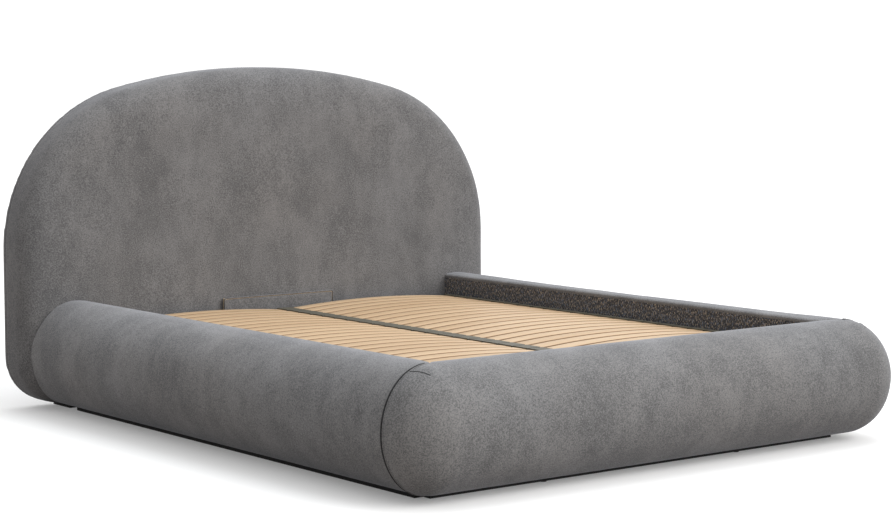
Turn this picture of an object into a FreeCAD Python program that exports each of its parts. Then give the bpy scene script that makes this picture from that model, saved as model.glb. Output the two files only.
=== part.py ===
import FreeCAD, Part
import math
import os

from FreeCAD import Vector

os.makedirs("parts", exist_ok=True)

# Upholstered bed with an arched headboard, bolster rails and a slatted platform that
# lifts on two linkages over a storage box.  Millimetres.  +Z is up, +Y points to the
# head, +X is the right-hand side seen from the foot.  The origin is on the floor,
# under the middle of the bed.

# ---- driving dimensions ----------------------------------------------------------
well_width = 1610.0            # between the linings, for a 1600 mattress
well_length = 2015.0           # headboard face to foot lining, for a 2000 mattress
base_gap = 18.0                # floor to the underside of the upholstery
glide_height = 3.0
glide_radius = 12.0

rail_thick = 215.0
rail_crest = 161.0             # rail's outer face to its highest line
rail_top = 396.0
rail_shoulder = 12.0           # how far the inner top edge rounds down
lip_depth = 20.0               # fabric lip below the crest, where the lining starts
cover_thick = 3.0              # fabric with its wadding
board_thick = 18.0
board_drop = 4.0               # rail board's top below the shoulder
board_end_gap = 10.0           # rail boards stop short of the ends
lining_thick = 3.0

head_width = 2084.0
head_height = 1218.0
head_thick = 205.0
head_arch = 655.0              # top of the arch above the straight sides
head_shoulder = 600.0          # radius of the arch's shoulders
head_corner = 170.0            # radius of the two bottom corners
head_front_round = 80.0
head_back_round = 20.0
head_board_thick = 12.0
head_padding = 92.0            # foam between the front face and the board
head_timber = (60.0, 45.0)     # width and depth of the inner timbers
head_upright_x = 560.0
head_timber_gap = 10.0         # lowest timber above the back opening's lower edge
head_timber_drop = 160.0       # uprights' top below the back opening's upper edge
head_rail_inset = 20.0         # cross timbers from the uprights' ends
head_base_inset = 40.0         # recessed base behind the headboard's faces
head_base_gap = 12.0           # base end to where the bottom corner starts to turn
back_cloth_thick = 1.5
back_cloth_margin = 45.0

floor_thick = 4.0
floor_top = 34.0
ledge_width = 20.0
ledge_end_gap = 30.0
ledge_lift = 6.0               # ledge's underside above the floor
beam_width = 60.0
beam_gap = 0.5
panel_end_gap = 1.0
head_crossboard_thick = 16.0
head_crossboard_top = 240.0
plinth_width = 56.0
plinth_foot_width = 30.0
plinth_head_gap = 20.0         # side plinth to the headboard
plinth_corner_gap = 25.0       # foot plinth's ends inside the crest line
glide_end_gap = 60.0           # outer glides from the well's ends
beam_glide_gap = 80.0

tube_width = 40.0
tube_height = 30.0
tube_wall = 1.5
tube_top = 293.0
cross_width = 30.0
cross_count = 3
cross_head_offset = 528.75     # headboard face to the first cross tube, over the lift angle
frame_head_gap = 45.0          # headboard face to the frame
frame_foot_gap = 35.0          # frame to the foot lining
frame_side_gap = 20.0          # side tube to the lining

slat_count = 25
slat_width = 63.0
slat_thick = 8.0
slat_camber = 18.0
slat_end_gap = 20.0            # slat end to the lining
slat_centre_gap = 12.0         # slat end to the bed's middle
slat_lift = 7.0                # tube top to the slat's underside at its end
holder_fit = 0.3               # clearance round a slat's end
holder_wall = 3.0
holder_grip = 16.0             # length of slat held in a holder
holder_side_gap = 12.0         # holder to the lining
holder_rise = 2.5              # room for the slat, which climbs inside its holder
cap_end_gap = 1.0              # last holders to the frame's ends

stop_width = 492.0
stop_top = 363.0
stop_thick = 16.0
stop_gap = 9.0                 # headboard face to the mattress stop
stop_cover_thick = 2.0
stop_round = 4.0
stop_foot_lift = 5.0           # stop's lower edge above the underside of the tubes
stop_arm = (30.0, 4.0)         # width and thickness of the arms that carry it
stop_arm_lift = 10.0

strap_width = 25.0
strap_thick = 2.0
strap_radius = 50.0
strap_leg = 22.0

# Lifting linkage: distance from the headboard face, and height, of each pivot when
# the platform is down.
rear_base_pivot = (540.0, 70.0)
front_base_pivot = (900.0, 88.5)
gas_base_pivot = (478.0, 62.0)
rear_lift_offset = 388.0
front_lift_offset = 566.0
lift_drop = 38.0               # pivots below the platform's tubes
gas_reach = 197.0              # front base pivot to the gas spring's stud
lever_width = 28.0
lever_thick = 5.0
stud_radius = 6.0
stud_fit = 0.05                # radial running clearance of a stud in its lever
stud_head_radius = 9.0
stud_head_thick = 2.5
open_pivot_gap = 0.4           # clearance left at the pivots that close a loop
bar_thick = 4.0
bar_margin = 40.0
bar_bottom = 42.0
bar_top = 112.0
layer_gap = 1.0                # side clearance between bars and levers
lift_leg = 50.0
lift_edge = 6.0                # lift angle's edge below the levers' eyes
gas_inset = 31.0               # lining to the gas spring's axis
gas_cylinder_radius = 11.0
gas_rod_radius = 4.0
gas_eye_radius = 9.0
gas_eye_width = 10.0
gas_stud_radius = 5.0
gas_stroke = 108.2
gas_cylinder_share = 0.66      # cylinder's part of the closed length
gas_bore_fit = 0.1
gas_neck = 22.0                # eye's centre to the cylinder's end
gas_neck_share = 0.8           # of the eye's radius, where neck and rod start
gas_end_room = 2.0
gas_rod_gap = 1.0              # rod's inner end to the bottom of its bore

bracket_thick = 3.0
bracket_leg = 60.0
bracket_height = 120.0
bracket_lift = 30.0            # storage floor to the brackets
bracket_bolt_inset = 25.0      # bolts from a bracket's top and bottom
bracket_bolt_share = 0.6       # of the leg, from the corner to a bolt
bar_bolt_lift = 12.0           # bolts above the base bar's lower edge
bolt_head_radius = 8.0
bolt_head_thick = 4.5
bolt_head_round = 1.5
rest_height = 40.0
rest_start = 90.0              # frame's foot end to the rest brackets
rest_overlap = 0.6             # of the side tube's width that lies on the bracket
rest_bolt_drop = 24.0          # bolt below the bracket's top
rest_pad_gap = 0.5

# ---- places worked out from them -------------------------------------------------
bed_length = well_length + rail_thick + head_thick
head_spring = head_height - head_arch            # where the arch leaves the straight sides
back_y = bed_length / 2
face_y = back_y - head_thick                     # headboard's front face
foot_y = -bed_length / 2                         # foot rail's outer face
well_foot_y = face_y - well_length
well_x = well_width / 2
rail_x = well_x + rail_thick
crest_x = rail_x - rail_crest
crest_y = foot_y + rail_crest                    # foot rail's crest, and the cover seams
rail_inner = rail_thick - rail_crest
board_x = well_x + lining_thick
lip_z = rail_top - lip_depth
board_bottom = base_gap + cover_thick
board_top = rail_top - rail_shoulder - board_drop

frame_x = well_x - frame_side_gap
frame_head_y = face_y - frame_head_gap
frame_foot_y = well_foot_y + frame_foot_gap
tube_bottom = tube_top - tube_height
slat_foot_y = frame_foot_y + holder_wall + cap_end_gap
slat_head_y = frame_head_y - holder_wall - cap_end_gap
slat_pitch = (slat_head_y - slat_foot_y - slat_width) / (slat_count - 1)
slat_bottom = tube_top + slat_lift
lift_z = tube_bottom - lift_drop

lever_s = bar_thick + layer_gap                  # lining to the levers
lift_s = lever_s + lever_thick + layer_gap       # lining to the lift angle


def at(offset, height):
    """Point in the side view, from a distance to the headboard and a height."""
    return (face_y - offset, height)


pivot_a = at(*rear_base_pivot)
pivot_b = at(*front_base_pivot)
pivot_c = at(rear_lift_offset, lift_z)
pivot_d = at(front_lift_offset, lift_z)
pivot_e = at(*gas_base_pivot)


def along(start, end, distance):
    """Point on the line from start to end, that distance from start."""
    length = math.dist(start, end)
    share = distance / length
    return tuple(s + (e - s) * share for s, e in zip(start, end))


pivot_f = along(pivot_b, pivot_d, gas_reach)


# ---- helpers ---------------------------------------------------------------------
def box(x0, x1, y0, y1, z0, z1):
    size = Vector(x1 - x0, y1 - y0, z1 - z0)
    return Part.makeBox(size.x, size.y, size.z, Vector(x0, y0, z0))


def mirror_x(shape):
    return shape.mirror(Vector(0, 0, 0), Vector(1, 0, 0))


def save(name, *solids):
    """Write one node, from one solid or a group of separate solids."""
    loose = []
    for solid in solids:
        loose.extend(solid.Solids)
    shape = loose[0] if len(loose) == 1 else Part.makeCompound(loose)
    bad = [s for s in loose if not s.isValid() or s.Volume <= 0]
    print(f"{name:24s} solids {len(loose):3d}  volume {shape.Volume / 1e3:10.1f} cm3"
          + ("  INVALID" if bad else ""))
    shape.exportStep(f"parts/{name}.step")


def save_sides(name, right):
    """Write a right-hand node and its mirror image on the left."""
    save(f"{name}_right", right)
    save(f"{name}_left", mirror_x(right))


def arc(centre, radius, start, end, y):
    """Arc in a plane of constant y, by its angles in degrees."""
    points = []
    for angle in (start, (start + end) / 2, end):
        turn = math.radians(angle)
        x = centre[0] + radius * math.cos(turn)
        z = centre[1] + radius * math.sin(turn)
        points.append(Vector(x, y, z))
    return Part.Arc(*points).toShape()


def quarter_ellipse(centre, first, second):
    """Quarter of an ellipse from centre + first to centre + second."""
    if first.Length >= second.Length:
        ellipse = Part.Ellipse(centre + first, centre + second, centre)
        return Part.Arc(ellipse, 0, math.pi / 2).toShape()
    ellipse = Part.Ellipse(centre + second, centre + first, centre)
    return Part.Arc(ellipse, 0, math.pi / 2).toShape()


def line(a, b):
    return Part.makeLine(a, b)


def edges_at_y(shape, y):
    return [e for e in shape.Edges if all(abs(v.Point.y - y) < 1e-6 for v in e.Vertexes)]


def side_cylinder(point, radius, s0, s1):
    """Cylinder across the right-hand mechanism, between two insets from the lining."""
    start = Vector(well_x - s1, point[0], point[1])
    return Part.makeCylinder(radius, s1 - s0, start, Vector(1, 0, 0))


def side_link(start, end, width, s0, s1):
    """Flat bar with round ends between two points of the side view."""
    length = math.dist(start, end)
    angle = math.degrees(math.atan2(end[1] - start[1], end[0] - start[0]))
    bar = box(well_x - s1, well_x - s0, 0, length, -width / 2, width / 2)
    bar.rotate(Vector(0, 0, 0), Vector(1, 0, 0), angle)
    bar.translate(Vector(0, start[0], start[1]))
    for point in (start, end):
        bar = bar.fuse(side_cylinder(point, width / 2, s0, s1))
    return bar.removeSplitter()


def tube_along_y(x0, x1, y0, y1):
    outer = box(x0, x1, y0, y1, tube_bottom, tube_top)
    w = tube_wall
    return outer.cut(box(x0 + w, x1 - w, y0 - 1, y1 + 1, tube_bottom + w, tube_top - w))


def tube_along_x(x0, x1, y0, y1):
    outer = box(x0, x1, y0, y1, tube_bottom, tube_top)
    w = tube_wall
    return outer.cut(box(x0 - 1, x1 + 1, y0 + w, y1 - w, tube_bottom + w, tube_top - w))


# ---- headboard -------------------------------------------------------------------
def head_outline(inset, y):
    """Three-centred arch on straight sides with round bottom corners."""
    side = head_width / 2 - inset
    top = head_height - inset
    bottom = base_gap + inset
    corner = head_corner - inset
    shoulder = head_shoulder - inset
    rise = top - head_spring
    reach = side - shoulder
    crown = (reach ** 2 + rise ** 2 - shoulder ** 2) / (2 * (rise - shoulder))
    meet = math.degrees(math.atan2(crown - rise, reach))
    z = bottom + corner
    return Part.Wire([
        arc((reach, head_spring), shoulder, 0, meet, y),
        arc((0, top - crown), crown, meet, 180 - meet, y),
        arc((-reach, head_spring), shoulder, 180 - meet, 180, y),
        line(Vector(-side, y, head_spring), Vector(-side, y, z)),
        arc((corner - side, z), corner, 180, 270, y),
        line(Vector(corner - side, y, bottom), Vector(side - corner, y, bottom)),
        arc((side - corner, z), corner, 270, 360, y),
        line(Vector(side, y, z), Vector(side, y, head_spring)),
    ])


def head_slab(inset, y0, y1):
    return Part.Face(head_outline(inset, y0)).extrude(Vector(0, y1 - y0, 0))


def head_body(inset):
    y0 = face_y + inset
    y1 = back_y - inset
    body = head_slab(inset, y0, y1)
    body = body.makeFillet(head_front_round - inset, edges_at_y(body, y0))
    return body.makeFillet(head_back_round - inset, edges_at_y(body, y1))


def build_headboard():
    opening = head_slab(back_cloth_margin, back_y - cover_thick - 1, back_y + 1)
    core = head_body(cover_thick)
    save("headboard_cover", head_body(0).cut(core).cut(opening))
    cloth_y = back_y - cover_thick
    cloth = head_slab(back_cloth_margin, cloth_y, cloth_y + back_cloth_thick)
    save("headboard_back_cloth", cloth)

    board_y = face_y + head_padding
    board = head_slab(head_front_round / 2, board_y, board_y + head_board_thick)
    save("headboard_board", board)
    frame_y = board_y + head_board_thick
    hollow = head_slab(back_cloth_margin, frame_y, cloth_y)
    save("headboard_foam", core.cut(board).cut(hollow))

    width, depth = head_timber
    low = base_gap + back_cloth_margin + head_timber_gap
    high = head_height - back_cloth_margin - head_timber_drop
    timbers = []
    for side in (-1, 1):
        x = side * head_upright_x
        timbers.append(box(x - width / 2, x + width / 2, frame_y, frame_y + depth, low, high))
    inner = head_upright_x - width / 2
    for z in (low + head_rail_inset, (low + high) / 2, high - width - head_rail_inset):
        timbers.append(box(-inner, inner, frame_y, frame_y + depth, z, z + width))
    save("headboard_frame", *timbers)

    margin = head_base_inset
    base_x = head_width / 2 - head_corner - head_base_gap
    base = box(-base_x, base_x, face_y + margin, back_y - margin, glide_height, base_gap)
    save("headboard_base", base)


# ---- rails -----------------------------------------------------------------------
def rail_faces(inset, origin, out):
    """Outer and inner halves of a rail's section, on its crest line.

    origin is a floor point under the crest, out the outward direction."""
    up = Vector(0, 0, 1)
    half = (rail_top - base_gap) / 2 - inset
    centre = origin + up * (rail_top + base_gap) / 2
    top = centre + up * half
    bottom = centre - up * half
    bulge = out * (rail_crest - inset)
    outer = Part.Wire([
        quarter_ellipse(centre, bulge, up * half),
        quarter_ellipse(centre, bulge, up * -half),
        line(bottom, top),
    ])
    back = out * -(rail_inner - inset)
    shoulder_z = rail_top - rail_shoulder
    shoulder = origin + up * shoulder_z
    inner = Part.Wire([
        quarter_ellipse(shoulder, back, up * (rail_shoulder - inset)),
        line(shoulder + back, bottom + back),
        line(bottom + back, bottom),
        line(bottom, top),
    ])
    return Part.Face(outer), Part.Face(inner)


def mitre_block(corner_y, toward):
    """Block on one side of the 45 degree mitre through the right-hand corner."""
    size = 2 * rail_inner
    corner = Vector(crest_x, corner_y, 0)
    low = corner + Vector(size, -size, 0)
    high = corner + Vector(-size, size, 0)
    step = Vector(size, size, 0) * toward
    face = Part.Face(Part.makePolygon([low, high, high + step, low + step, low]))
    return face.extrude(Vector(0, 0, rail_top + 10))


def side_body(inset):
    """Right-hand side rail, from its seam with the foot rail to the headboard."""
    start = crest_y + inset
    end = face_y - inset
    origin = Vector(crest_x, start, 0)
    outer, inner = rail_faces(inset, origin, Vector(1, 0, 0))
    run = Vector(0, end - start, 0)
    inner_run = inner.extrude(run)
    inner_run = inner_run.cut(mitre_block(crest_y + inset * math.sqrt(2), -1))
    return outer.extrude(run).fuse(inner_run).removeSplitter()


def foot_body(inset):
    """Foot rail, with a turned quarter at each end and mitred inner corners."""
    origin = Vector(-crest_x, crest_y, 0)
    outer, inner = rail_faces(inset, origin, Vector(0, -1, 0))
    run = Vector(2 * crest_x, 0, 0)
    inner_run = inner.extrude(run)
    block = mitre_block(crest_y - inset * math.sqrt(2), 1)
    inner_run = inner_run.cut(block).cut(mirror_x(block))
    left_end = outer.revolve(origin, Vector(0, 0, 1), -90)
    body = outer.extrude(run).fuse([inner_run, left_end, mirror_x(left_end)])
    if inset > 0:
        end = box(crest_x - inset, rail_x + 1, crest_y - inset, crest_y + 1, 0, rail_top + 1)
        body = body.cut(end).cut(mirror_x(end))
    return body.removeSplitter()


def build_side_rails():
    room = box(well_x - 1, board_x, crest_y - 1, face_y + 1, 0, lip_z)
    core = side_body(cover_thick)
    save_sides("side_cover", side_body(0).cut(core).cut(room))
    board = box(board_x, board_x + board_thick, well_foot_y + board_end_gap,
                face_y - board_end_gap, board_bottom, board_top)
    save_sides("side_board", board)
    save_sides("side_foam", core.cut(board).cut(room))
    lining = box(well_x, board_x, well_foot_y, face_y, base_gap + cover_thick, lip_z)
    save_sides("side_lining", lining)


def build_foot_rail():
    y = well_foot_y - lining_thick
    room = box(-rail_x, rail_x, y, well_foot_y + 1, 0, lip_z)
    core = foot_body(cover_thick)
    save("foot_cover", foot_body(0).cut(core).cut(room))
    end = well_x - board_end_gap
    board = box(-end, end, y - board_thick, y, board_bottom, board_top)
    save("foot_board", board)
    save("foot_foam", core.cut(board).cut(room))
    save("foot_lining", box(-well_x, well_x, y, well_foot_y, base_gap + cover_thick, lip_z))


# ---- base, storage floor and brackets --------------------------------------------
def build_base():
    plinth = box(board_x, board_x + plinth_width, well_foot_y, face_y - plinth_head_gap,
                 glide_height, base_gap)
    save_sides("plinth", plinth)
    foot_plinth_y = well_foot_y - lining_thick
    end = crest_x - plinth_corner_gap
    save("plinth_foot", box(-end, end, foot_plinth_y - plinth_foot_width, foot_plinth_y,
                            glide_height, base_gap))

    ledge_top = floor_top - floor_thick
    ledge = box(well_x - ledge_width, well_x, well_foot_y + ledge_end_gap,
                face_y - ledge_end_gap, ledge_lift, ledge_top)
    save("floor_ledges", ledge, mirror_x(ledge))
    y0 = well_foot_y + panel_end_gap
    y1 = face_y - head_crossboard_thick - panel_end_gap
    beam = box(-beam_width / 2, beam_width / 2, y0, y1, glide_height, ledge_top)
    save("floor_beam", beam)
    panel = box(beam_gap, well_x - beam_gap, y0, y1, ledge_top, floor_top)
    save_sides("floor_panel", panel)
    save("head_crossboard", box(-well_x + beam_gap, well_x - beam_gap,
                                face_y - head_crossboard_thick, face_y,
                                base_gap + cover_thick, head_crossboard_top))

    glides = []
    plinth_x = board_x + plinth_width / 2
    foot_glide_y = well_foot_y + glide_end_gap
    spots = [(0, y) for y in (foot_glide_y, 0, face_y - beam_glide_gap)]
    for side in (-1, 1):
        spots += [(side * plinth_x, y) for y in (foot_glide_y, 0, face_y - glide_end_gap)]
        spots.append((side * head_width / 3, (face_y + back_y) / 2))
        spots.append((side * well_x / 2, foot_plinth_y - plinth_foot_width / 2))
    for x, y in spots:
        glides.append(Part.makeCylinder(glide_radius, glide_height, Vector(x, y, 0)))
    save("glides", *glides)


def bolt(point, direction):
    """Button head of a bolt, with its underside at point and its shank along direction."""
    head = Part.makeCylinder(bolt_head_radius, bolt_head_thick, point, direction * -1)
    top = point - direction * bolt_head_thick
    rim = [e for e in head.Edges if (e.CenterOfMass - top).Length < 1e-6]
    return head.makeFillet(bolt_head_round, rim)


def build_brackets():
    """Angle brackets inside the storage box, and their bolts."""
    bolts = []
    z0 = floor_top + bracket_lift
    z1 = z0 + bracket_height
    t = bracket_thick
    corner_y = well_foot_y
    along_side = box(well_x - t, well_x, corner_y, corner_y + bracket_leg, z0, z1)
    along_foot = box(well_x - bracket_leg, well_x, corner_y, corner_y + t, z0, z1)
    foot_angle = along_side.fuse(along_foot).removeSplitter()
    head_y = face_y - head_crossboard_thick
    along_side = box(well_x - t, well_x, head_y - bracket_leg, head_y, z0, z1)
    along_head = box(well_x - bracket_leg, well_x, head_y - t, head_y, z0, z1)
    head_angle = along_side.fuse(along_head).removeSplitter()
    save("corner_brackets", foot_angle, mirror_x(foot_angle))
    save("headboard_brackets", head_angle, mirror_x(head_angle))
    reach = bracket_leg * bracket_bolt_share
    for z in (z0 + bracket_bolt_inset, z1 - bracket_bolt_inset):
        bolts.append(bolt(Vector(well_x - t, corner_y + reach, z), Vector(1, 0, 0)))
        bolts.append(bolt(Vector(well_x - reach, corner_y + t, z), Vector(0, -1, 0)))
        bolts.append(bolt(Vector(well_x - t, head_y - reach, z), Vector(1, 0, 0)))
        bolts.append(bolt(Vector(well_x - reach, head_y - t, z), Vector(0, 1, 0)))
    bar_ends = (pivot_b[0] - bar_margin / 2, pivot_e[0] + bar_margin / 2)
    for y in (bar_ends[0], (pivot_a[0] + pivot_b[0]) / 2, bar_ends[1]):
        bolts.append(bolt(Vector(well_x - bar_thick, y, bar_bottom + bar_bolt_lift), Vector(1, 0, 0)))

    rest_top = tube_bottom - rest_pad_gap
    leg_x = frame_x - tube_width * rest_overlap
    y0 = frame_foot_y + rest_start
    wall = box(well_x - t, well_x, y0, y0 + bracket_leg, rest_top - rest_height, rest_top)
    shelf = box(leg_x, well_x, y0, y0 + bracket_leg, rest_top - t, rest_top)
    rest = wall.fuse(shelf).removeSplitter()
    save("rest_brackets", rest, mirror_x(rest))
    y = y0 + bracket_leg / 2
    bolts.append(bolt(Vector(well_x - t, y, rest_top - rest_bolt_drop), Vector(1, 0, 0)))
    save("bracket_bolts", *bolts, *[mirror_x(b) for b in bolts])


# ---- lifting platform ------------------------------------------------------------
def build_frame():
    y0 = frame_foot_y
    y1 = frame_head_y
    x0 = frame_x - tube_width
    save_sides("frame_side_tube", tube_along_y(x0, frame_x, y0, y1))
    save("frame_head_tube", tube_along_x(-x0, x0, y1 - tube_width, y1))
    save("frame_foot_tube", tube_along_x(-x0, x0, y0, y0 + tube_width))
    half = tube_width / 2
    save("frame_centre_tube", tube_along_y(-half, half, y0 + tube_width, y1 - tube_width))
    tubes = []
    span = face_y - cross_head_offset - y0
    for k in range(cross_count):
        y = y0 + span * (k + 1) / cross_count - cross_width / 2
        tube = tube_along_x(half, x0, y, y + cross_width)
        tubes += [tube, mirror_x(tube)]
    save("frame_cross_tubes", *tubes)


def slat_starts():
    """Foot-side edge of each slat."""
    return [slat_foot_y + k * slat_pitch for k in range(slat_count)]


def slat_blank(y):
    """Cambered slat of the right-hand bank."""
    x0 = slat_centre_gap
    x1 = well_x - slat_end_gap
    middle = (x0 + x1) / 2
    chord = x1 - x0

    def bow(z):
        return Part.Arc(Vector(x0, y, z), Vector(middle, y, z + slat_camber), Vector(x1, y, z))

    low = bow(slat_bottom).toShape()
    high = bow(slat_bottom + slat_thick).toShape()
    ends = [line(Vector(x, y, slat_bottom), Vector(x, y, slat_bottom + slat_thick)) for x in (x0, x1)]
    wire = Part.Wire(Part.__sortEdges__([low, high] + ends))
    return Part.Face(wire).extrude(Vector(0, slat_width, 0))


def holder(x0, x1, grip_x0, grip_x1, y):
    """Cap round one slat end, standing on its tube."""
    w = holder_wall
    room_top = slat_bottom + slat_thick + holder_rise
    block = box(x0, x1, y - w, y + slat_width + w, tube_top, room_top + w)
    fit = holder_fit
    room = box(grip_x0, grip_x1, y - fit, y + slat_width + fit, slat_bottom - fit, room_top)
    return block.cut(room)


def build_slats():
    slats = [slat_blank(y) for y in slat_starts()]
    save("slats_right", *slats)
    save("slats_left", *[mirror_x(s) for s in slats])

    side_x1 = well_x - holder_side_gap
    end_x = well_x - slat_end_gap + holder_fit
    side = []
    centre = []
    inner = slat_centre_gap - holder_fit
    reach = slat_centre_gap + holder_grip
    for y in slat_starts():
        side.append(holder(end_x - holder_grip, side_x1, end_x - holder_grip - 1, end_x, y))
        cap = holder(-reach, reach, inner, reach + 1, y)
        room = box(-reach - 1, -inner, y - holder_fit, y + slat_width + holder_fit,
                   slat_bottom - holder_fit, slat_bottom + slat_thick + holder_rise)
        centre.append(cap.cut(room))
    save("slat_caps_right", *side)
    save("slat_caps_left", *[mirror_x(s) for s in side])
    save("slat_caps_centre", *centre)


def build_mattress_stop():
    c = stop_cover_thick
    y1 = face_y - stop_gap
    y0 = y1 - stop_thick
    half = stop_width / 2
    foot = tube_bottom + stop_foot_lift
    outer = box(-half, half, y0, y1, foot, stop_top)
    outer = outer.makeFillet(stop_round, [e for e in outer.Edges if e.CenterOfMass.z > stop_top - 1])
    board = box(-half + c, half - c, y0 + c, y1 - c, foot + c, stop_top - c)
    save("mattress_stop_board", board)
    save("mattress_stop_cover", outer.cut(board))
    width, thick = stop_arm
    arm_z = tube_bottom + stop_arm_lift
    arms = []
    for side in (-1, 1):
        x = side * stop_width / 3
        arms.append(box(x - width / 2, x + width / 2, frame_head_y, y0, arm_z, arm_z + thick))
    save("stop_arms", *arms)


def build_pull_strap():
    """Webbing loop on the frame's foot end, hanging under the tube."""
    y1 = frame_foot_y
    y0 = y1 - strap_thick
    inner = strap_radius - strap_width
    legs = []
    for x0, x1 in ((-strap_radius, -inner), (inner, strap_radius)):
        legs.append(box(x0, x1, y0, y1, tube_bottom, tube_bottom + strap_leg))
    centre = Vector(0, y0, tube_bottom)
    disc = Part.makeCylinder(strap_radius, strap_thick, centre, Vector(0, 1, 0))
    hole = Part.makeCylinder(inner, strap_thick, centre, Vector(0, 1, 0))
    lower = box(-strap_radius - 1, strap_radius + 1, y0 - 1, y1 + 1, tube_bottom - strap_radius - 1,
                tube_bottom)
    loop = disc.cut(hole).common(lower)
    save("pull_strap", loop.fuse(legs).removeSplitter())


# ---- lifting linkage -------------------------------------------------------------
def headed_stud(point, s0, s1, head_s, radius=stud_radius):
    """Stud across the linkage between two insets, with a head that starts at head_s."""
    head = side_cylinder(point, stud_head_radius, head_s, head_s + stud_head_thick)
    return side_cylinder(point, radius, s0, s1).fuse(head).removeSplitter()


def build_linkage():
    lever_end = lever_s + lever_thick
    fit = stud_radius + stud_fit

    # base bar on the lining, with its studs
    bar = box(well_x - bar_thick, well_x, pivot_b[0] - bar_margin, pivot_e[0] + bar_margin,
              bar_bottom, bar_top)
    holes = [(pivot_a, stud_radius), (pivot_b, stud_radius), (pivot_e, gas_stud_radius)]
    for point, radius in holes:
        bar = bar.cut(side_cylinder(point, radius, -1, bar_thick + 1))
    save_sides("base_bar", bar)
    keeper = lever_end + layer_gap / 2
    studs = [headed_stud(p, 0, keeper + stud_head_thick, keeper) for p in (pivot_a, pivot_b)]
    eye_out = gas_inset - gas_eye_width / 2
    eye_in = gas_inset + gas_eye_width / 2
    gas_keeper = eye_in + layer_gap / 2
    studs.append(headed_stud(pivot_e, 0, gas_keeper + stud_head_thick, gas_keeper, gas_stud_radius))
    save("base_studs", *studs, *[mirror_x(s) for s in studs])

    # lift angle under the platform's side tube, with its studs
    lift_in = lift_s + bar_thick
    y0 = pivot_d[0] - bar_margin
    y1 = pivot_c[0] + bar_margin
    x1 = well_x - lift_s
    wall = box(well_x - lift_in, x1, y0, y1, lift_z - lever_width / 2 - lift_edge, tube_bottom)
    shelf = box(x1 - lift_leg, x1, y0, y1, tube_bottom - bar_thick, tube_bottom)
    angle = wall.fuse(shelf).removeSplitter()
    for point in (pivot_c, pivot_d):
        angle = angle.cut(side_cylinder(point, stud_radius, lift_s - 1, lift_in + 1))
    save_sides("lift_angle", angle)
    head_s = lever_s - layer_gap / 2 - stud_head_thick
    rear_stud = headed_stud(pivot_c, head_s, lift_in, head_s)
    front_stud = side_cylinder(pivot_d, stud_radius, lever_end + open_pivot_gap, lift_in)
    save("lift_studs", rear_stud, front_stud, mirror_x(rear_stud), mirror_x(front_stud))

    # levers
    rear = side_link(pivot_a, pivot_c, lever_width, lever_s, lever_end)
    for point in (pivot_a, pivot_c):
        rear = rear.cut(side_cylinder(point, fit, lever_s - 1, lever_end + 1))
    save_sides("rear_lever", rear)
    front = side_link(pivot_b, pivot_d, lever_width, lever_s, lever_end)
    for point in (pivot_b, pivot_d):
        front = front.cut(side_cylinder(point, fit, lever_s - 1, lever_end + 1))
    gas_stud_end = eye_out - open_pivot_gap
    front = front.fuse(side_cylinder(pivot_f, gas_stud_radius, lever_end - 1, gas_stud_end))
    save_sides("front_lever", front.removeSplitter())

    # gas spring, cylinder end on the base bar and rod end on the front lever
    length = math.dist(pivot_e, pivot_f)
    cylinder_end = length * gas_cylinder_share

    def on_axis(distance):
        y, z = along(pivot_e, pivot_f, distance)
        return Vector(well_x - gas_inset, y, z)

    axis = on_axis(1) - on_axis(0)
    neck = gas_eye_radius * gas_neck_share
    shell = Part.makeCylinder(gas_cylinder_radius, cylinder_end - gas_neck, on_axis(gas_neck), axis)
    shell = shell.fuse(Part.makeCylinder(gas_rod_radius + 1, gas_neck - neck + 1, on_axis(neck), axis))
    shell = shell.fuse(side_cylinder(pivot_e, gas_eye_radius, eye_out, eye_in))
    shell = shell.cut(side_cylinder(pivot_e, gas_stud_radius + stud_fit, eye_out - 1, eye_in + 1))
    bore_radius = gas_rod_radius + gas_bore_fit
    bore_start = cylinder_end - gas_stroke - gas_end_room
    bore_length = cylinder_end - bore_start + 1
    shell = shell.cut(Part.makeCylinder(bore_radius, bore_length, on_axis(bore_start), axis))
    save_sides("gas_cylinder", shell.removeSplitter())
    rod_start = bore_start + gas_rod_gap
    rod = Part.makeCylinder(gas_rod_radius, length - neck - rod_start, on_axis(rod_start), axis)
    rod = rod.fuse(side_cylinder(pivot_f, gas_eye_radius, eye_out, eye_in))
    save_sides("gas_rod", rod.removeSplitter())


build_headboard()
build_side_rails()
build_foot_rail()
build_base()
build_brackets()
build_frame()
build_slats()
build_mattress_stop()
build_pull_strap()
build_linkage()
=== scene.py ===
import bpy
import bmesh
import math
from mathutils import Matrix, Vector, noise
from mathutils.bvhtree import BVHTree


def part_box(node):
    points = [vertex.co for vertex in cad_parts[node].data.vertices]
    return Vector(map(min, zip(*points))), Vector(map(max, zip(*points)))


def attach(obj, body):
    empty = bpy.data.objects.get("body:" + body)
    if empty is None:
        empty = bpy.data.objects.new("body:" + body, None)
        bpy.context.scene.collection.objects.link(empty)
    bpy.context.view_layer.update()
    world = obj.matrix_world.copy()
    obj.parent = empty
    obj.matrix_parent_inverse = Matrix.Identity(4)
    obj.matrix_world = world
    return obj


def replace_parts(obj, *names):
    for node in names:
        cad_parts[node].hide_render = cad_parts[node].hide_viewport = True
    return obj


# Upholstered storage bed. Metres, +Z up, +Y to the headboard, +X right from the foot end.

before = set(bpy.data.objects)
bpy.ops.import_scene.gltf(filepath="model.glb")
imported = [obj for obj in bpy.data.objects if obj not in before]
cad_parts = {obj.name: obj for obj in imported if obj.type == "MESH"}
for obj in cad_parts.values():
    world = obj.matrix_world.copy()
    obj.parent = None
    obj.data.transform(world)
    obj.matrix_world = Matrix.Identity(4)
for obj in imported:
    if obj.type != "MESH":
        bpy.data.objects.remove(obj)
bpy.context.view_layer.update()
scene = bpy.context.scene
print("frame loaded", len(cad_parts), "nodes")


# node trees

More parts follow.
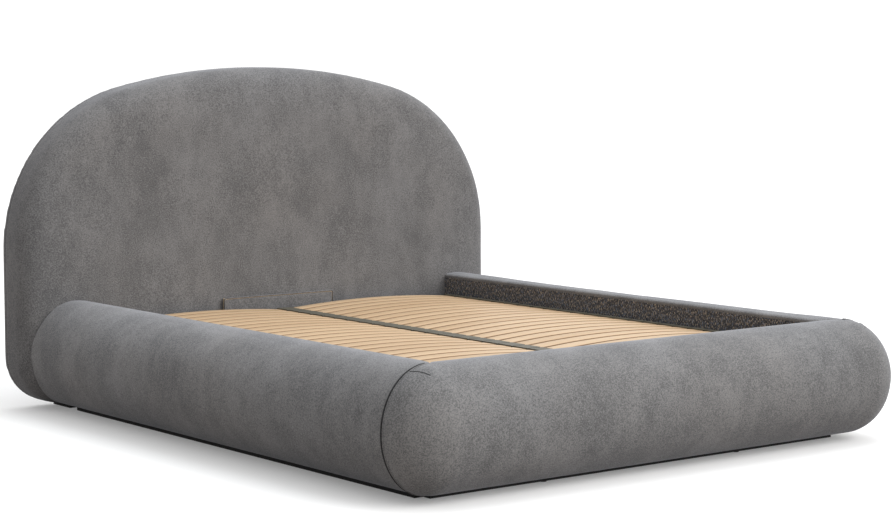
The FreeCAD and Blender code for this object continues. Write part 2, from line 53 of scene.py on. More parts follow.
class Signal:
    # one output socket, so that sums on it read as plain Python
    def __init__(self, graph, socket):
        self.graph = graph
        self.socket = socket

    def sum(self, operation, first, second):
        return self.graph.node("ShaderNodeMath", {"operation": operation}, {0: first, 1: second})

    def __add__(self, other):
        return self.sum("ADD", self, other)

    def __radd__(self, other):
        return self.sum("ADD", other, self)

    def __sub__(self, other):
        return self.sum("SUBTRACT", self, other)

    def __rsub__(self, other):
        return self.sum("SUBTRACT", other, self)

    def __mul__(self, other):
        return self.sum("MULTIPLY", self, other)

    def __rmul__(self, other):
        return self.sum("MULTIPLY", other, self)


class Graph:
    def __init__(self, tree):
        self.tree = tree

    def feed(self, socket, value):
        if isinstance(value, list):                    # several pieces joined in one socket
            for each in value:
                self.feed(socket, each)
        elif isinstance(value, Signal):
            self.tree.links.new(value.socket, socket)
        else:
            socket.default_value = value

    def node(self, kind, settings=None, values=None, out=0):
        made = self.tree.nodes.new(kind)
        for key, value in (settings or {}).items():
            if key == "stops":
                self.setStops(made.color_ramp, value)
            else:
                setattr(made, key, value)
        for key, value in (values or {}).items():
            self.feed(made.inputs[key], value)
        return Signal(self, made.outputs[out])

    def setStops(self, ramp, stops):
        while len(ramp.elements) < len(stops):
            ramp.elements.new(0.5)
        for element, (place, tone) in zip(ramp.elements, stops):
            element.position = place
            element.color = (tone, tone, tone, 1)


class Finish(Graph):
    # a material: one Principled shader, with patterns laid out in metres
    def __init__(self, name, **fixed):
        self.material = bpy.data.materials.new(name)
        self.material.use_nodes = True
        super().__init__(self.material.node_tree)
        self.tree.nodes.clear()
        self.shader = self.tree.nodes.new("ShaderNodeBsdfPrincipled")
        output = self.tree.nodes.new("ShaderNodeOutputMaterial")
        self.tree.links.new(self.shader.outputs[0], output.inputs["Surface"])
        self.place = self.node("ShaderNodeTexCoord", out="Object")
        self.give({key.replace("_", " "): value for key, value in fixed.items()})

    def give(self, values):
        for key, value in values.items():
            self.feed(self.shader.inputs[key], value)

    def noise(self, size, stretch=(1, 1, 1), turn=(0, 0, 0), detail=2.0, rough=0.5):
        # size is about the width of one blotch in metres, stretch how much longer it is
        scale = tuple(1 / (size * s) for s in stretch)
        at = self.node("ShaderNodeMapping", {"vector_type": "POINT"},
                       {"Vector": self.place, "Rotation": turn, "Scale": scale})
        return self.node("ShaderNodeTexNoise", {}, {"Vector": at, "Scale": 1.0, "Detail": detail,
                                                    "Roughness": rough})

    def ramp(self, value, *stops):
        return self.node("ShaderNodeValToRGB", {"stops": stops}, {0: value})

    def mix(self, factor, first, second):
        first, second = ((*c, 1) if isinstance(c, tuple) else c for c in (first, second))
        return self.node("ShaderNodeMix", {"data_type": "RGBA"}, {0: factor, 6: first, 7: second}, 2)

    def bump(self, height, depth, strength=1.0):
        return self.node("ShaderNodeBump", {}, {"Height": height, "Distance": depth,
                                                "Strength": strength})


class Recipe(Graph):
    # a Geometry Nodes tree whose sizes are named inputs
    def __init__(self, name, sizes):
        super().__init__(bpy.data.node_groups.new(name, "GeometryNodeTree"))
        face = self.tree.interface
        face.new_socket("Geometry", in_out="INPUT", socket_type="NodeSocketGeometry")
        face.new_socket("Geometry", in_out="OUTPUT", socket_type="NodeSocketGeometry")
        self.keys = {}
        for title, value in {**sizes, "Material": None}.items():
            kind = "NodeSocketMaterial" if value is None else "NodeSocketFloat"
            if isinstance(value, int):
                kind = "NodeSocketInt"
            socket = face.new_socket(title, in_out="INPUT", socket_type=kind)
            if value is not None:
                socket.default_value = value
            self.keys[title] = socket.identifier
        entry = self.tree.nodes.new("NodeGroupInput")
        self.entry = {s.name: Signal(self, s) for s in entry.outputs if s.name}

    def vector(self, x=0.0, y=0.0, z=0.0):
        return self.node("ShaderNodeCombineXYZ", {}, {0: x, 1: y, 2: z})

    def close(self, geometry):
        solid = self.node("GeometryNodeRealizeInstances", {}, {"Geometry": geometry})
        painted = self.node("GeometryNodeSetMaterial", {},
                            {"Geometry": solid, "Material": self.entry["Material"]})
        output = self.tree.nodes.new("NodeGroupOutput")
        self.tree.links.new(painted.socket, output.inputs[0])


# meshes

def link(obj):
    scene.collection.objects.link(obj)
    return obj


def newPiece(name, verts, faces, material, smooth=True):
    mesh = bpy.data.meshes.new(name)
    mesh.from_pydata(verts, [], faces)
    obj = link(bpy.data.objects.new(name, mesh))
    obj.data.materials.append(material)
    if smooth:
        mesh.polygons.foreach_set("use_smooth", [True] * len(mesh.polygons))
    return obj


def settle(obj):
    # the modifiers' result becomes the object's own mesh
    view = obj.evaluated_get(bpy.context.evaluated_depsgraph_get())
    mesh = bpy.data.meshes.new_from_object(view)
    mesh.name = obj.name
    obj.modifiers.clear()
    obj.data = mesh


def addModifier(obj, kind, **settings):
    modifier = obj.modifiers.new(kind.lower(), kind)
    for key, value in settings.items():
        setattr(modifier, key, value)
    return modifier


def grow(name, recipe, sizes, material, points=None):
    # runs a recipe, on a path of points where it needs one, and keeps a plain mesh
    seed = bpy.data.meshes.new(name)
    if points:
        seed.from_pydata(points, [(k, k + 1) for k in range(len(points) - 1)], [])
    obj = link(bpy.data.objects.new(name, seed))
    modifier = obj.modifiers.new("grow", "NODES")
    modifier.node_group = recipe.tree
    for title, value in {**sizes, "Material": material}.items():
        modifier[recipe.keys[title]] = value
    settle(obj)
    return obj


def cleanMesh(obj, gap=0.00002):
    work = bmesh.new()
    work.from_mesh(obj.data)
    bmesh.ops.remove_doubles(work, verts=work.verts, dist=gap)
    bmesh.ops.recalc_face_normals(work, faces=work.faces)
    work.to_mesh(obj.data)
    work.free()
    obj.data.update()


def mirrored(obj, name):
    mesh = obj.data.copy()
    for vert in mesh.vertices:
        vert.co.x = -vert.co.x
    mesh.flip_normals()
    mesh.update()
    return link(bpy.data.objects.new(name, mesh))


def surfaceOf(obj):
    return BVHTree.FromPolygons([v.co.copy() for v in obj.data.vertices],
                                [tuple(p.vertices) for p in obj.data.polygons])


def snap(tree, points, lift):
    # lays points on a surface, lift above it
    laid = []
    for point in points:
        place, normal, face, gap = tree.find_nearest(Vector(point))
        laid.append(place + normal * lift)
    return laid


def plump(obj, pinWeight, swell):
    # short cloth run that blows the cover up a little between its seams
    group = obj.vertex_groups.new(name="held")
    for vert in obj.data.vertices:
        group.add([vert.index], pinWeight(vert.co), "REPLACE")
    start = [v.co.copy() for v in obj.data.vertices]
    cloth = obj.modifiers.new("cloth", "CLOTH")
    fabric = cloth.settings
    fabric.quality = 4
    fabric.mass = 0.3
    fabric.use_pressure = True
    fabric.uniform_pressure_force = swell["pressure"]
    fabric.tension_stiffness = fabric.compression_stiffness = swell["stiffness"]
    fabric.shear_stiffness = swell["stiffness"]
    fabric.bending_stiffness = 2.0
    fabric.effector_weights.gravity = 0
    fabric.vertex_group_mass = "held"
    fabric.pin_stiffness = 1.0
    cloth.collision_settings.use_collision = False
    for step in range(1, swell["frames"] + 1):
        scene.frame_set(step)
    view = obj.evaluated_get(bpy.context.evaluated_depsgraph_get())
    moved = [v.co.copy() for v in view.data.vertices]
    obj.modifiers.clear()
    obj.vertex_groups.clear()
    scene.frame_set(1)
    far = 0.0
    for vert, a, b in zip(obj.data.vertices, start, moved):
        shift = b - a
        far = max(far, shift.length)
        if shift.length > swell["cap"]:
            shift.length = swell["cap"]
        vert.co = a + shift
    obj.data.update()
    print("  cloth moved up to", round(far * 1000, 1), "mm")


def undulate(obj, size, height, keep):
    # soft hand-made unevenness of stuffed fabric; keep(co) is 1 where it may move
    normals = [v.normal.copy() for v in obj.data.vertices]
    for vert, normal in zip(obj.data.vertices, normals):
        wave = noise.noise(vert.co / size) + 0.4 * noise.noise(vert.co / (size * 0.37))
        vert.co += normal * wave * height * keep(vert.co)
    obj.data.update()


def subdivide(obj):
    addModifier(obj, "SUBSURF", levels=1, render_levels=1)
    settle(obj)


def smoothStep(value, low, high):
    share = min(max((value - low) / (high - low), 0.0), 1.0)
    return share * share * (3 - 2 * share)


# finishes

def velvet(name, dark, light, sheen):
    f = Finish(name, Roughness=0.92, Sheen_Weight=sheen, Sheen_Roughness=0.38,
               Sheen_Tint=(0.86, 0.90, 1.0, 1), Specular_IOR_Level=0.25)
    patches = f.noise(0.16, (1, 1, 1.5), detail=4.0, rough=0.6)
    brushed = f.noise(0.045, (1, 1, 1.9), detail=3.0, rough=0.6)
    nap = f.noise(0.0046, detail=2.0, rough=0.7)
    pile = f.noise(0.0021, detail=1.0, rough=0.6)
    tone = 0.5 + (patches - 0.5) * 1.3 + (brushed - 0.5) * 0.7 + (nap - 0.5) * 3.0 + (pile - 0.5) * 1.6
    warm = f.noise(0.42, detail=1.0)
    lightTone = f.mix(f.ramp(warm, (0.35, 0.0), (0.65, 1.0)), light, (light[0] * 1.02, light[1], light[2] * 0.98))
    height = nap * 0.6 + pile * 0.4 + brushed * 0.5
    f.give({"Base Color": f.mix(tone, dark, lightTone), "Normal": f.bump(height, 0.0009, 0.5)})
    return f.material


def felt(name, base, flecks):
    f = Finish(name, Roughness=0.95, Sheen_Weight=0.25, Sheen_Roughness=0.5, Specular_IOR_Level=0.2)
    colour = f.mix(f.noise(0.012, detail=3.0), tuple(c * 0.6 for c in base), tuple(c * 1.5 for c in base))
    for k, (fleck, low, high, lean) in enumerate(flecks):
        speck = f.noise(0.0044, (1, 0.8, 2.2), (lean, 0, 0.3 * k), detail=2.5, rough=0.6)
        colour = f.mix(f.ramp(speck, (low, 0.0), (high, 1.0)), colour, fleck)
    hairs = f.noise(0.0022, (1, 0.6, 3.0), (0.8, 0, 0), detail=3.0)
    f.give({"Base Color": colour, "Normal": f.bump(hairs, 0.0012, 0.8)})
    return f.material


def wovenBacking(name, base):
    f = Finish(name, Roughness=0.95, Specular_IOR_Level=0.2)
    weft = f.node("ShaderNodeTexWave", {"bands_direction": "Z"}, {"Vector": f.place, "Scale": 260.0,
                                                                   "Distortion": 0.6})
    warp = f.node("ShaderNodeTexWave", {"bands_direction": "X"}, {"Vector": f.place, "Scale": 260.0,
                                                                   "Distortion": 0.6})
    web = f.noise(0.02, detail=3.0)
    weave = weft * 0.5 + warp * 0.5
    f.give({"Base Color": f.mix(web * 0.6 + weave * 0.4, tuple(c * 0.7 for c in base),
                                tuple(c * 1.35 for c in base)),
            "Normal": f.bump(weave, 0.0003, 0.8)})
    return f.material


def sawnWood(name, pale, dark, gloss=0.6, along=(14, 1, 1)):
    f = Finish(name, Roughness=gloss)
    rings = f.noise(0.012, along, detail=3.0, rough=0.6)
    pores = f.noise(0.0012, tuple(s * 1.6 for s in along), detail=2.0)
    tone = rings * 1.2 + pores * 0.5 - 0.35
    f.give({"Base Color": f.mix(tone, pale, dark), "Normal": f.bump(pores, 0.0003, 0.6),
            "Roughness": gloss - 0.1 + pores * 0.2})
    return f.material


def chipBoard(name, pale, dark):
    f = Finish(name, Roughness=0.85)
    chips = f.node("ShaderNodeTexVoronoi", {}, {"Vector": f.place, "Scale": 230.0})
    dust = f.noise(0.002, detail=2.0)
    tone = chips * 0.8 + dust * 0.5 - 0.1
    f.give({"Base Color": f.mix(tone, dark, pale), "Normal": f.bump(chips, 0.0004, 0.6)})
    return f.material


def powderCoat(name, base, gloss=0.45, wear=0.0):
    f = Finish(name, Specular_IOR_Level=0.5)
    peel = f.noise(0.0016, detail=2.0)
    handled = f.noise(0.06, detail=4.0, rough=0.65)
    bright = tuple(min(c * 1.5 + 0.01, 1.0) for c in base)
    f.give({"Base Color": f.mix(handled * 0.5 + wear * handled, base, bright),
            "Roughness": gloss - 0.12 + handled * 0.24, "Normal": f.bump(peel, 0.00012, 0.6)})
    return f.material


def bareSteel(name, base, gloss, brushing=(1, 1, 8)):
    f = Finish(name, Metallic=1.0)
    brushed = f.noise(0.0011, brushing, detail=3.0)
    haze = f.noise(0.03, detail=3.0)
    f.give({"Base Color": f.mix(haze, tuple(c * 0.85 for c in base), base),
            "Roughness": gloss - 0.08 + haze * 0.1 + brushed * 0.08,
            "Normal": f.bump(brushed, 0.00005, 0.6)})
    return f.material


def mouldedPlastic(name, base, gloss=0.5):
    f = Finish(name, Specular_IOR_Level=0.45)
    spark = f.noise(0.0009, detail=2.0)
    dust = f.noise(0.025, detail=3.0)
    f.give({"Base Color": f.mix(dust * 0.6 + spark * 0.3, tuple(c * 0.8 for c in base),
                                tuple(c * 1.25 for c in base)),
            "Roughness": gloss - 0.08 + dust * 0.16, "Normal": f.bump(spark, 0.00015, 0.5)})
    return f.material


def beechPly(name):
    # each slat has its own tone, and its edges show the glued layers; the edges' dark brown is also painted shade
    # of the gaps between slats
    f = Finish(name, Specular_IOR_Level=0.35)
    own = f.node("ShaderNodeAttribute", {"attribute_name": "slatTone"}, {}, "Fac")
    layer = f.node("ShaderNodeAttribute", {"attribute_name": "ply"}, {}, "Fac")
    figure = f.noise(0.010, (26, 1, 1), detail=3.0, rough=0.55)
    flecks = f.noise(0.0014, (5, 1, 1), detail=2.0, rough=0.6)
    broad = f.noise(0.09, (5, 1, 1), detail=2.0)
    tone = 0.30 + (figure - 0.5) * 0.9 + (flecks - 0.5) * 0.5 + (broad - 0.5) * 0.5 + (own - 0.5) * 0.45
    face = f.mix(tone, (0.52, 0.370, 0.228), (0.40, 0.262, 0.146))
    stripe = f.node("ShaderNodeMath", {"operation": "FRACT"}, {0: layer * 650.0 + 0.5})
    glue = f.ramp(stripe, (0.08, 0.55), (0.30, 0.0), (0.80, 0.0), (0.98, 0.55))
    edge = f.node("ShaderNodeAttribute", {"attribute_name": "edge"}, {}, "Fac")
    # edge colour: glue layers, made dark brown overall as painted shade of the gaps between slats
    side = f.mix(glue, (0.235, 0.140, 0.070), (0.120, 0.065, 0.030))
    f.give({"Base Color": f.mix(edge, face, side),
            "Roughness": 0.42 + figure * 0.18, "Normal": f.bump(flecks + figure, 0.00018, 0.5)})
    return f.material


def holderPlastic(name, base, shade, low, high):
    # painted highlight on the tops and painted shade on the walls between two holders: the colour goes dark below
    # a height
    f = Finish(name, Roughness=0.55, Specular_IOR_Level=0.35)
    level = f.node("ShaderNodeSeparateXYZ", {}, {"Vector": f.place}, "Z")
    dust = f.noise(0.02, detail=3.0)
    upper = f.mix(dust, base, tuple(c * 1.3 for c in base))
    f.give({"Base Color": f.mix(f.ramp(level, (low, 0.0), (high, 1.0)), shade, upper),
            "Normal": f.bump(f.noise(0.0009, detail=2.0), 0.00015, 0.5)})
    return f.material


def webbingFinish(name, base):
    f = Finish(name, Roughness=0.8, Sheen_Weight=0.2)
    ribs = f.node("ShaderNodeTexWave", {"bands_direction": "DIAGONAL"}, {"Vector": f.place, "Scale": 330.0})
    fuzz = f.noise(0.0015, detail=2.0)
    f.give({"Base Color": f.mix(ribs * 0.6 + fuzz * 0.4, tuple(c * 0.6 for c in base),
                                tuple(c * 1.5 for c in base)),
            "Normal": f.bump(ribs, 0.0004, 0.8)})
    return f.material


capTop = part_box("slat_caps_right")[1].z
finishes = {
    "velvet": velvet("greyVelvet", (0.096, 0.096, 0.098), (0.212, 0.211, 0.214), 0.27),
    # darker copy of the same velvet as the rails, for the headboard and the mattress stop: painted shade
    "velvetShadedCopy": velvet("greyVelvetHeadboard", (0.078, 0.077, 0.079), (0.170, 0.168, 0.171), 0.22),
    # near-black copy of the velvet for cords that paint the shadow in the seams and in the dart
    "velvetSeamShadow": velvet("greyVelvetFold", (0.018, 0.018, 0.019), (0.045, 0.045, 0.047), 0.08),
    "thread": webbingFinish("greyThread", (0.20, 0.20, 0.205)),
    "felt": felt("flecked_storage_felt", (0.034, 0.035, 0.041), [
        ((0.46, 0.365, 0.265), 0.55, 0.62, 0.8),
        ((0.150, 0.185, 0.250), 0.57, 0.64, -0.8),
        ((0.008, 0.008, 0.010), 0.56, 0.64, 0.5)]),
    "backing": wovenBacking("black_backing", (0.030, 0.030, 0.033)),
    "chipBoard": chipBoard("particle_board", (0.62, 0.50, 0.35), (0.34, 0.24, 0.14)),
    "pine": sawnWood("planed_pine", (0.74, 0.55, 0.33), (0.52, 0.33, 0.16)),
    "blackBase": powderCoat("black_base_board", (0.006, 0.006, 0.007), 0.7),
    "floorBoard": sawnWood("white_hardboard", (0.66, 0.62, 0.55), (0.54, 0.49, 0.41), 0.5, (1, 20, 1)),
    "glide": mouldedPlastic("black_glide", (0.02, 0.02, 0.022)),
    "frameSteel": powderCoat("frame_powder_coat", (0.012, 0.012, 0.014), 0.42),
    "linkSteel": powderCoat("linkage_powder_coat", (0.026, 0.027, 0.029), 0.36, 0.3),
    "zinc": bareSteel("zinc_bracket", (0.66, 0.67, 0.68), 0.38),
    "stud": bareSteel("bright_stud", (0.74, 0.74, 0.75), 0.26, (1, 1, 1)),
    "springTube": powderCoat("black_spring_tube", (0.010, 0.010, 0.012), 0.22),
    "springRod": bareSteel("chromed_rod", (0.82, 0.82, 0.84), 0.14, (1, 1, 1)),
    "beech": beechPly("beech_slat"),
    # the second colour is the painted shade on the holders' walls below their tops
    "holder": holderPlastic("grey_slat_holder", (0.078, 0.072, 0.054), (0.010, 0.010, 0.009),
                            capTop - 0.004, capTop - 0.0015),
    "webbing": webbingFinish("black_webbing", (0.045, 0.045, 0.050)),
}
print("finishes made", len(finishes))


def dress(finish, *nodes):
    for node in nodes:
        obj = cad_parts[node]
        if not obj.data.materials:
            obj.data.materials.append(None)
        for place in obj.material_slots:
            place.material = finishes[finish]


def sides(*stems):
    return [f"{stem}_{side}" for stem in stems for side in ("left", "right")]


dress("chipBoard", "headboard_board", "foot_board", "head_crossboard", "mattress_stop_board",
      *sides("side_board"))
dress("pine", "headboard_frame", "floor_ledges", "floor_beam")
dress("blackBase", "headboard_base", "plinth_foot", *sides("plinth"))
dress("floorBoard", *sides("floor_panel"))
dress("glide", "glides")
dress("frameSteel", "frame_head_tube", "frame_foot_tube", "frame_centre_tube", "frame_cross_tubes",
      "stop_arms", *sides("frame_side_tube"))
dress("linkSteel", *sides("base_bar", "lift_angle", "rear_lever", "front_lever"))
dress("zinc", "corner_brackets", "headboard_brackets", "rest_brackets")
dress("stud", "base_studs", "lift_studs", "bracket_bolts")
dress("springTube", *sides("gas_cylinder"))
dress("springRod", *sides("gas_rod"))

# sizes shared by the upholstered pieces, read from the frame
headLow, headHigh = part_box("headboard_cover")
footLow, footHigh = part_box("foot_cover")
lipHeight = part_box("side_lining_right")[1].z
railLow = footLow.z
railHigh = footHigh.z
railSide = footHigh.x
crest = {"across": 0.161, "x": railSide - 0.161, "y": footLow.y + 0.161}

# rails

railShape = {
    "tuck": 0.054,            # crest line to the inner face
    "shoulder": 0.012,        # drop of the rounded inner edge
    "boardStep": 0.051,       # crest line to the board behind the felt
    "upperPoints": 34,
    "lowerPoints": 18,
    "sideRound": 0.008,       # edge of a side rail at the foot seam
    "footRound": 0.0055,      # edge of the foot rail there, which stands proud
    "tuckDepth": 0.0015,
    "tuckRun": 0.030,
    "headRound": 0.006,
    "embed": 0.003,
    "start": 0.0015,          # smaller by this before the cloth run
    "swell": {"pressure": 3.0, "stiffness": 18.0, "frames": 14, "cap": 0.004},
}


def railRing():
    # section of a rail as (outward from the crest line, height), and its outward normals
    r = railShape
    half = (railHigh - railLow) / 2
    middle = (railHigh + railLow) / 2
    ring = []
    for k in range(r["lowerPoints"]):
        turn = math.radians(-90 + 90 * k / r["lowerPoints"])
        ring.append((crest["across"] * math.cos(turn), middle + half * math.sin(turn)))
    for k in range(r["upperPoints"] + 1):              # closer together towards the crest
        turn = math.radians(90 - 90 * (1 - k / r["upperPoints"]) ** 1.5)
        ring.append((crest["across"] * math.cos(turn), middle + half * math.sin(turn)))
    steps = 9
    for k in range(1, steps + 1):
        turn = math.radians(90 * k / steps)
        ring.append((-r["tuck"] * math.sin(turn), railHigh - r["shoulder"] * (1 - math.cos(turn))))
    ring += [(-r["tuck"], lipHeight + 0.001), (-r["boardStep"], lipHeight)]
    drop = 8
    for k in range(1, drop + 1):
        ring.append((-r["boardStep"], lipHeight + (railLow - lipHeight) * k / drop))
    ring.append((-r["boardStep"] / 2, railLow))
    normals = []
    for k, (o, z) in enumerate(ring):
        before, after = ring[k - 1], ring[(k + 1) % len(ring)]
        across = Vector((after[1] - before[1], before[0] - after[0]))
        normals.append(across.normalized())
    return ring, normals


def seamInset(gap, radius):
    if gap >= radius:
        return 0.0
    return radius - math.sqrt(max(radius * radius - (radius - max(gap, 0.0)) ** 2, 0.0))


def headFaceY(x, z):
    # front surface of the headboard low down, where its edge rounds away
    corner, bend = 0.170, 0.080
    side = headHigh.x - abs(x)
    floorGap = z - headLow.z
    inset = min(side, floorGap)
    if side < corner and floorGap < corner:
        inset = corner - math.hypot(corner - side, corner - floorGap)
    inset = min(max(inset, 0.0), bend)
    return headLow.y + bend - math.sqrt(bend * bend - (bend - inset) ** 2)


def loft(name, stations):
    # closed skin over rings of equal length
    count = len(stations[0])
    verts = [p for ring in stations for p in ring]
    faces = []
    for s in range(len(stations) - 1):
        for k in range(count):
            a, b = s * count + k, s * count + (k + 1) % count
            faces.append((a, b, b + count, a + count))
    faces.append(tuple(reversed(range(count))))
    last = (len(stations) - 1) * count
    faces.append(tuple(range(last, last + count)))
    obj = newPiece(name, verts, faces, finishes["velvet"])
    cleanMesh(obj)
    return obj


def spread(cluster, start, end, step):
    # stations from start to end: close together at both ends
    length = end - start
    inner = [start + g for g in cluster] + [end - g for g in reversed(cluster)]
    first, last = start + cluster[-1], end - cluster[-1]
    count = int((last - first) / step)
    middle = [first + (last - first) * k / count for k in range(1, count)]
    return sorted(inner + middle)


def sideBolster():
    r = railShape
    ring, normals = railRing()
    cluster = [0.0, 0.0008, 0.0022, 0.0042, 0.0066, 0.010, 0.016, 0.026, 0.040]
    ends = []
    for o, z in ring:
        x = crest["x"] + o
        ends.append((crest["y"] + max(-o, 0.0), headFaceY(x, z) + r["embed"]))
    stations = []
    for place in spread(cluster, 0.0, 2.0, 0.024):
        loop = []
        for (o, z), n, (y0, y1) in zip(ring, normals, ends):
            back = 2.0 - place
            if place < 0.05:                           # millimetres stay millimetres at both ends
                y = y0 + place
            elif back < 0.05:
                y = y1 - back
            else:
                y = y0 + 0.05 + (place - 0.05) * (y1 - y0 - 0.1) / 1.9
            gap = (y - y0) / (math.sqrt(2) if o < 0 else 1)
            inset = seamInset(gap, r["sideRound"]) + seamInset(y1 - y, r["headRound"])
            inset += r["tuckDepth"] * (1 - smoothStep(gap, 0.0, r["tuckRun"]))
            inset += r["start"] * (1 if o > -0.04 else 0)
            loop.append((-(crest["x"] + o - n[0] * inset), y, z - n[1] * inset))
        stations.append(loop)
    return loft("sideBolsterLeft", stations)


def footBolster():
    r = railShape
    ring, normals = railRing()
    gaps = [0.0, 0.010, 0.024, 0.042, 0.066, 0.10, 0.16, 0.24, 0.34, 0.46, 0.60]
    gaps += [0.60 + k * (math.pi / 2 - 0.60) / 9 for k in range(1, 10)]
    half = []                                          # from the left seam to the middle
    for turn in gaps:
        loop = []
        for (o, z), n in zip(ring, normals):
            if o >= 0:
                inset = seamInset(o * math.sin(turn), r["footRound"]) + r["start"]
                o, z = o - n[0] * inset, z - n[1] * inset
                loop.append((-crest["x"] - o * math.cos(turn), crest["y"] - o * math.sin(turn), z))
            else:
                inset = r["footRound"]
                o, z = o - n[0] * inset, z - n[1] * inset
                loop.append((-crest["x"] - o, crest["y"] - o, z))
        half.append(loop)
    cluster = [0.0012, 0.003, 0.006, 0.010, 0.016, 0.026, 0.040]
    steps = 34
    straight = cluster + [0.040 + (crest["x"] - 0.040) * k / steps for k in range(1, steps + 1)]
    for run in straight:
        loop = []
        for (o, z), n in zip(ring, normals):
            if o >= 0:
                inset = seamInset(math.hypot(run, o), r["footRound"]) + r["start"]
                x = -crest["x"] + run
            else:
                reach = crest["x"] + o                 # mitre shortens the inner side
                x = -reach + run * reach / crest["x"]
                inset = seamInset((x + reach) / math.sqrt(2), r["footRound"])
                inset += r["start"] * (1 if o > -0.04 else 0)
            loop.append((x, crest["y"] - (o - n[0] * inset), z - n[1] * inset))
        half.append(loop)
    other = [[(-x, y, z) for x, y, z in loop] for loop in half[:-1]]
    return loft("footBolster", half + other[::-1])


def railPin(co):
    # seams, inner face and underside stay put
    side = crest["x"] - abs(co.x)
    foot = co.y - crest["y"]
    along = min(side, foot + 1) if foot > 0 else -1
    inward = max(min(side, foot), along)
    inner = smoothStep(inward, 0.020, 0.045)
    below = 1 - smoothStep(co.z, railLow + 0.004, railLow + 0.035)
    seam = 1 - smoothStep(abs(co.y - crest["y"]), 0.004, 0.030) if abs(co.x) > crest["x"] else 0
    if side >= 0 and foot >= 0:
        seam = 1 - smoothStep(abs(side - foot), 0.003, 0.020)
    head = smoothStep(co.y, headLow.y - 0.035, headLow.y - 0.006)
    return max(inner, below, seam, head)


def finishRail(obj):
    plump(obj, railPin, railShape["swell"])
    undulate(obj, 0.26, 0.0016, lambda co: 1 - railPin(co))
    subdivide(obj)
    return obj


leftRail = finishRail(sideBolster())
rightRail = mirrored(leftRail, "sideBolsterRight")
footRail = finishRail(footBolster())
for piece, stem in ((leftRail, "left"), (rightRail, "right")):
    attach(piece, "bed_base")
    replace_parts(piece, f"side_cover_{stem}", f"side_foam_{stem}")
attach(footRail, "bed_base")
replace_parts(footRail, "foot_cover", "foot_foam")
print("rails made", len(leftRail.data.polygons), len(footRail.data.polygons))

# headboard

headShape = {
    "spring": 0.563, "shoulder": 0.600, "corner": 0.170,
    "frontRound": 0.080, "backRound": 0.020,
    "backDrop": 0.0035,       # cover's back face under the backing cloth
    "frontDrop": 0.004,       # smaller by this before the cloth run
    "voxel": 0.015,
    "seamBack": 0.042,        # seam in front of the back face
    "seamDepth": 0.0032,
    "swell": {"pressure": 0.2, "stiffness": 60.0, "frames": 14, "cap": 0.011},
}


def headOutline(inset, y, step=0.02):
    # points round the arch, the sides and the two bottom corners
    h = headShape
    side, top, bottom = headHigh.x - inset, headHigh.z - inset, headLow.z + inset
    shoulder, corner = h["shoulder"] - inset, h["corner"] - inset
    rise, reach = top - h["spring"], side - shoulder
    crown = (reach ** 2 + rise ** 2 - shoulder ** 2) / (2 * (rise - shoulder))
    meet = math.atan2(crown - rise, reach)
    arcs = [((reach, h["spring"]), shoulder, 0, meet),
            ((0, top - crown), crown, meet, math.pi - meet),
            ((-reach, h["spring"]), shoulder, math.pi - meet, math.pi),
            ((corner - side, bottom + corner), corner, math.pi, math.pi * 1.5),
            ((side - corner, bottom + corner), corner, math.pi * 1.5, math.pi * 2)]
    points = []
    for (cx, cz), radius, start, end in arcs:
        count = max(3, round((radius + inset) * (end - start) / step))
        for k in range(count + 1):
            turn = start + (end - start) * k / count
            points.append(Vector((cx + radius * math.cos(turn), y, cz + radius * math.sin(turn))))
    return points


def headCushion():
    h = headShape
    front = headLow.y + h["frontDrop"]
    back = headHigh.y - h["backDrop"]
    levels = []
    for k in range(5):
        turn = math.radians(90 * k / 4)
        levels.append((h["backRound"] * (1 - math.sin(turn)), back - h["backRound"] * (1 - math.cos(turn))))
    for k in range(9):
        turn = math.radians(90 * k / 8)
        bend = h["frontRound"]
        levels.append((bend * (1 - math.cos(turn)), front + bend * (1 - math.sin(turn))))
    rings = [[tuple(p) for p in headOutline(inset, y)] for inset, y in levels]
    obj = loft("headboardCushion", rings)
    addModifier(obj, "REMESH", mode="VOXEL", voxel_size=h["voxel"], use_smooth_shade=True)
    addModifier(obj, "SMOOTH", factor=0.5, iterations=4)
    settle(obj)
    return obj


def headPin(co):
    back = smoothStep(co.y, headLow.y + 0.020, headLow.y + 0.075)
    below = 1 - smoothStep(co.z, headLow.z + 0.02, headLow.z + 0.09)
    return max(back, below)


def sewSeam(obj, seamY, depth, width):
    # cuts edge loops beside the seam, then draws the cover in along it
    work = bmesh.new()
    work.from_mesh(obj.data)
    for shift in (-width, -width * 0.45, 0.0, width * 0.45, width):
        everything = work.verts[:] + work.edges[:] + work.faces[:]
        bmesh.ops.bisect_plane(work, geom=everything, dist=0.0001, plane_co=(0, seamY + shift, 0),
                               plane_no=(0, 1, 0))
    work.normal_update()
    for vert in work.verts:
        gap = abs(vert.co.y - seamY)
        if gap < width:
            out = Vector((vert.normal.x, 0, vert.normal.z))
            if out.length > 0.5:
                vert.co -= out.normalized() * depth * (1 - gap / width) ** 1.5
    work.to_mesh(obj.data)
    work.free()
    obj.data.update()


headboard = headCushion()
plump(headboard, headPin, headShape["swell"])
undulate(headboard, 0.34, 0.0022, lambda co: 1 - headPin(co))
subdivide(headboard)
seamY = headHigh.y - headShape["seamBack"]
sewSeam(headboard, seamY, headShape["seamDepth"], 0.0055)
headboard.data.polygons.foreach_set("use_smooth", [True] * len(headboard.data.polygons))
# the headboard takes the darker velvet copy, painted shade
headboard.data.materials.clear()
headboard.data.materials.append(finishes["velvetShadedCopy"])
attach(headboard, "bed_base")
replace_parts(headboard, "headboard_cover", "headboard_foam")
print("headboard made", len(headboard.data.polygons))

# slats

